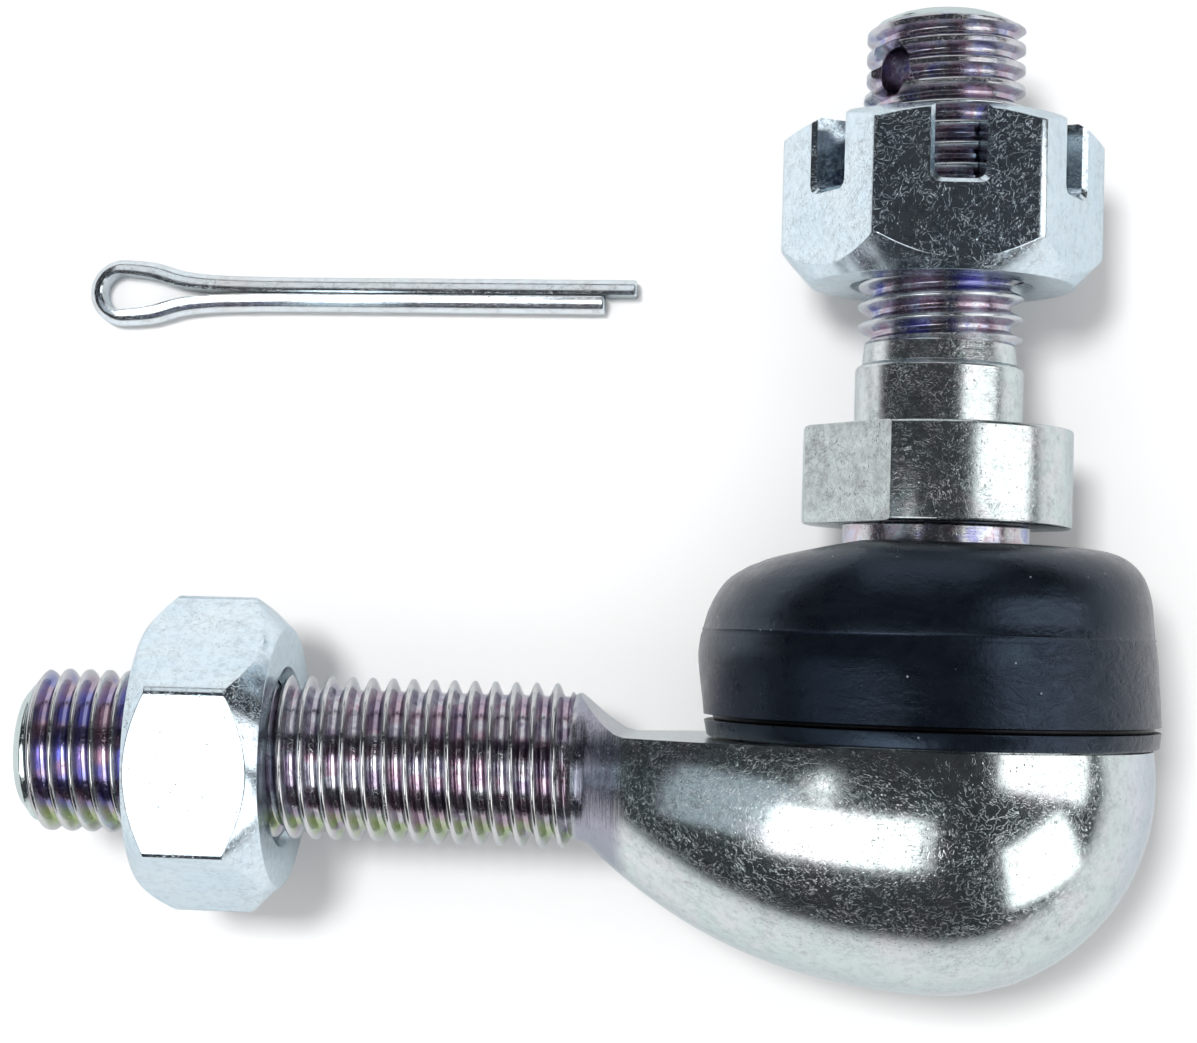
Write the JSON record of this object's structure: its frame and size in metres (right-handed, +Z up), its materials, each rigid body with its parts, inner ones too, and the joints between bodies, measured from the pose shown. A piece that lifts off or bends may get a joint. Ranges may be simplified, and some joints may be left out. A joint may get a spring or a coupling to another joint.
{
  "type": "rod end bearing",
  "caption": "Ball-jointed rod end lying on its side: threaded shank with a jam nut, rubber dust boot, collared ball stud with a slotted nut, and a loose split pin.",
  "frame": {"origin": "centre of the ball inside the housing", "axes": "+Y along the stud towards its threaded end, -X along the shank towards its tip, +Z up: the part lies on its side"},
  "size_m": [0.0692, 0.0582, 0.0272],
  "materials": {
    "housing_zinc": "bright zinc plating with a faint violet and yellow tint",
    "stud_zinc": "bright zinc plating with a faint violet tint",
    "nut_zinc": "pale blue zinc plating, satin",
    "pin_steel": "bright drawn wire",
    "race_steel": "ground",
    "boot_rubber": "satin black with moulding marks",
    "black_wire": "black oxide"
  },
  "bodies": {
    "housing": {"housing": "housing_zinc", "upper_race": "race_steel", "closing_ring": "race_steel", "preload_spring": "race_steel", "boot_base_clip": "black_wire"},
    "swivel": {"lower_race": "race_steel", "dust_boot": "boot_rubber"},
    "boot_neck": {"boot_neck_ring": "black_wire"},
    "stud": {"ball_stud": "stud_zinc"},
    "castle_nut": {"castle_nut": "nut_zinc"},
    "jam_nut": {"jam_nut": "nut_zinc"},
    "split_pin": {"split_pin": "pin_steel"}
  },
  "joints": [
    {"name": "stud_swivel", "type": "hinge", "parent": "housing", "child": "swivel", "pos_m": [0, 0, 0], "axis": [0, 1, 0], "continuous": true},
    {"name": "stud_lean", "type": "hinge", "parent": "swivel", "child": "boot_neck", "pos_m": [0, 0, 0], "axis": [0, 0, 1], "range_deg": [-20, 20], "deforming": ["dust_boot"]},
    {"name": "stud_spin", "type": "hinge", "parent": "boot_neck", "child": "stud", "pos_m": [0, 0, 0], "axis": [0, 1, 0], "continuous": true},
    {"name": "castle_nut_travel", "type": "slide", "parent": "stud", "child": "castle_nut", "axis": [0, 1, 0], "range_m": [-0.0025, 0.0125]},
    {"name": "jam_nut_travel", "type": "slide", "parent": "housing", "child": "jam_nut", "axis": [1, 0, 0], "range_m": [-0.00625, 0.01625]},
    {"name": "split_pin_lift", "type": "slide", "parent": "housing", "child": "split_pin", "axis": [0, 0, 1], "range_m": [0, 0.04]}
  ]
}
